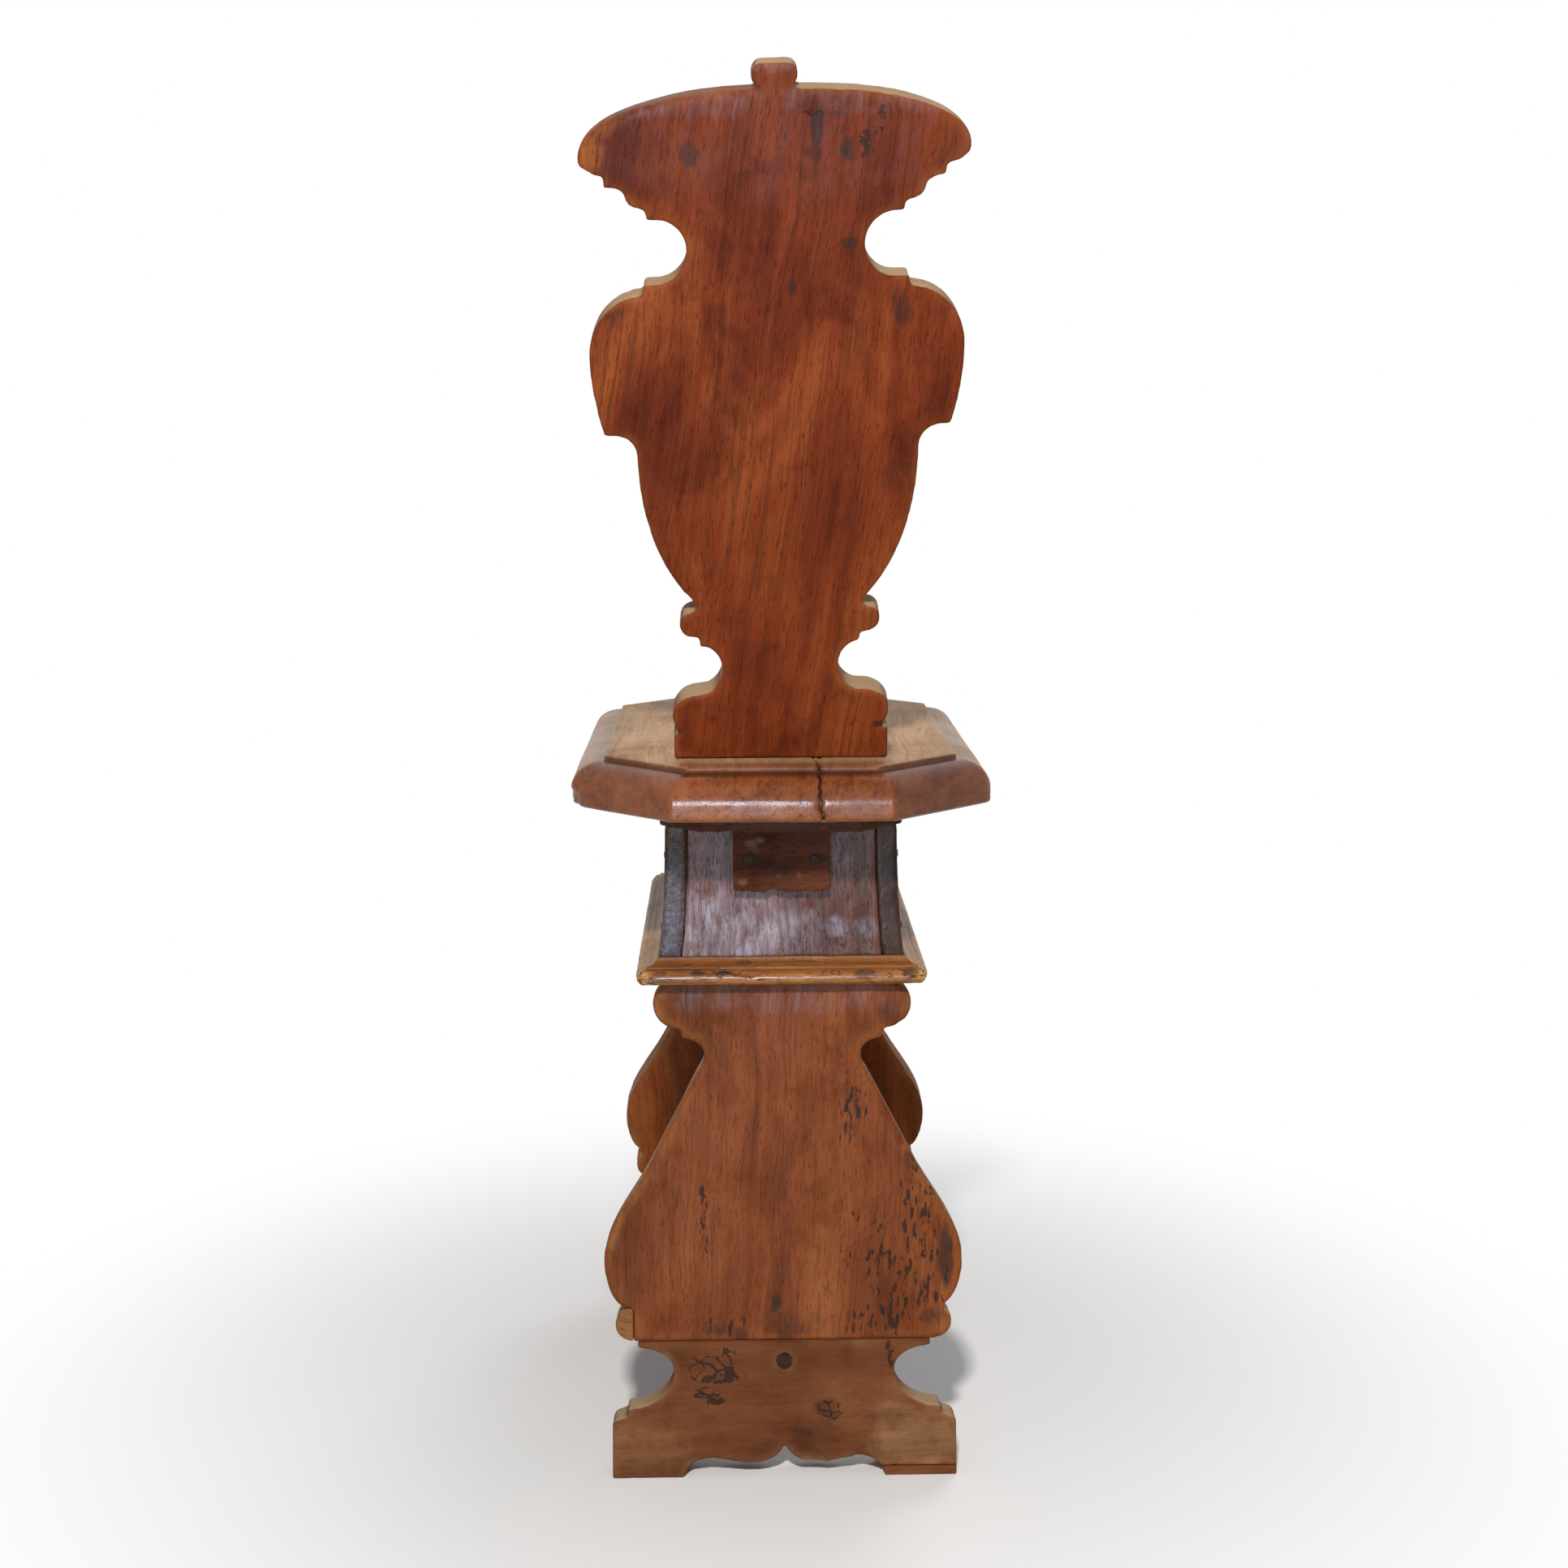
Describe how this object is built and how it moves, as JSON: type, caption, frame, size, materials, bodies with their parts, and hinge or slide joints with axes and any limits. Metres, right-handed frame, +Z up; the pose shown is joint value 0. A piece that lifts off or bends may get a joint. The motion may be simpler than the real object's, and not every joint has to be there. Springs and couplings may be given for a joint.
{
  "type": "sgabello chair",
  "caption": "Plank chair with shaped board legs, a flared box under a moulded octagonal seat, and a leaning back splat sawn into scrolls, a vase, shoulders and wings.",
  "frame": {"origin": "on the floor, under the middle of the chair's bounding box", "axes": "+X to the sitter's left, +Y to the rear, where the splat leans, +Z up"},
  "size_m": [0.328, 0.5443, 1.0744],
  "materials": {
    "splat_walnut": "old waxed, dry and stained",
    "seat_walnut": "worn wax polish",
    "box_walnut": "dark wax polish",
    "cleat_wood": "rough split face",
    "moulding_walnut": "worn wax polish",
    "leg_walnut": "old waxed, dry and stained",
    "foot_walnut": "dry, worn and stained",
    "repair_wood": "lighter, plain",
    "inner_wood": "unfinished",
    "forged_iron": "rusty, hammered"
  },
  "bodies": {
    "root": {"back_splat": "splat_walnut", "splat_key": "inner_wood", "seat_board": "seat_walnut", "box_top_board": "box_walnut", "seat_dowels": "inner_wood", "rear_cleat": "cleat_wood", "cleat_nails": "forged_iron", "box_back_panel": "box_walnut", "box_front_panel": "box_walnut", "box_left_side": "box_walnut", "box_right_side": "box_walnut", "box_bottom_board": "inner_wood", "box_nails": "forged_iron", "bottom_nails": "forged_iron", "base_moulding_back": "moulding_walnut", "base_moulding_front": "moulding_walnut", "base_moulding_left": "moulding_walnut", "base_moulding_right": "moulding_walnut", "moulding_pins": "forged_iron", "rear_leg_board": "leg_walnut", "rear_foot_board": "foot_walnut", "rear_foot_peg": "foot_walnut", "rear_lobe_patch": "repair_wood", "rear_foot_shim": "foot_walnut", "front_leg_board": "leg_walnut", "front_foot_board": "foot_walnut", "front_foot_peg": "foot_walnut", "leg_wedges": "inner_wood"}
  },
  "joints": []
}
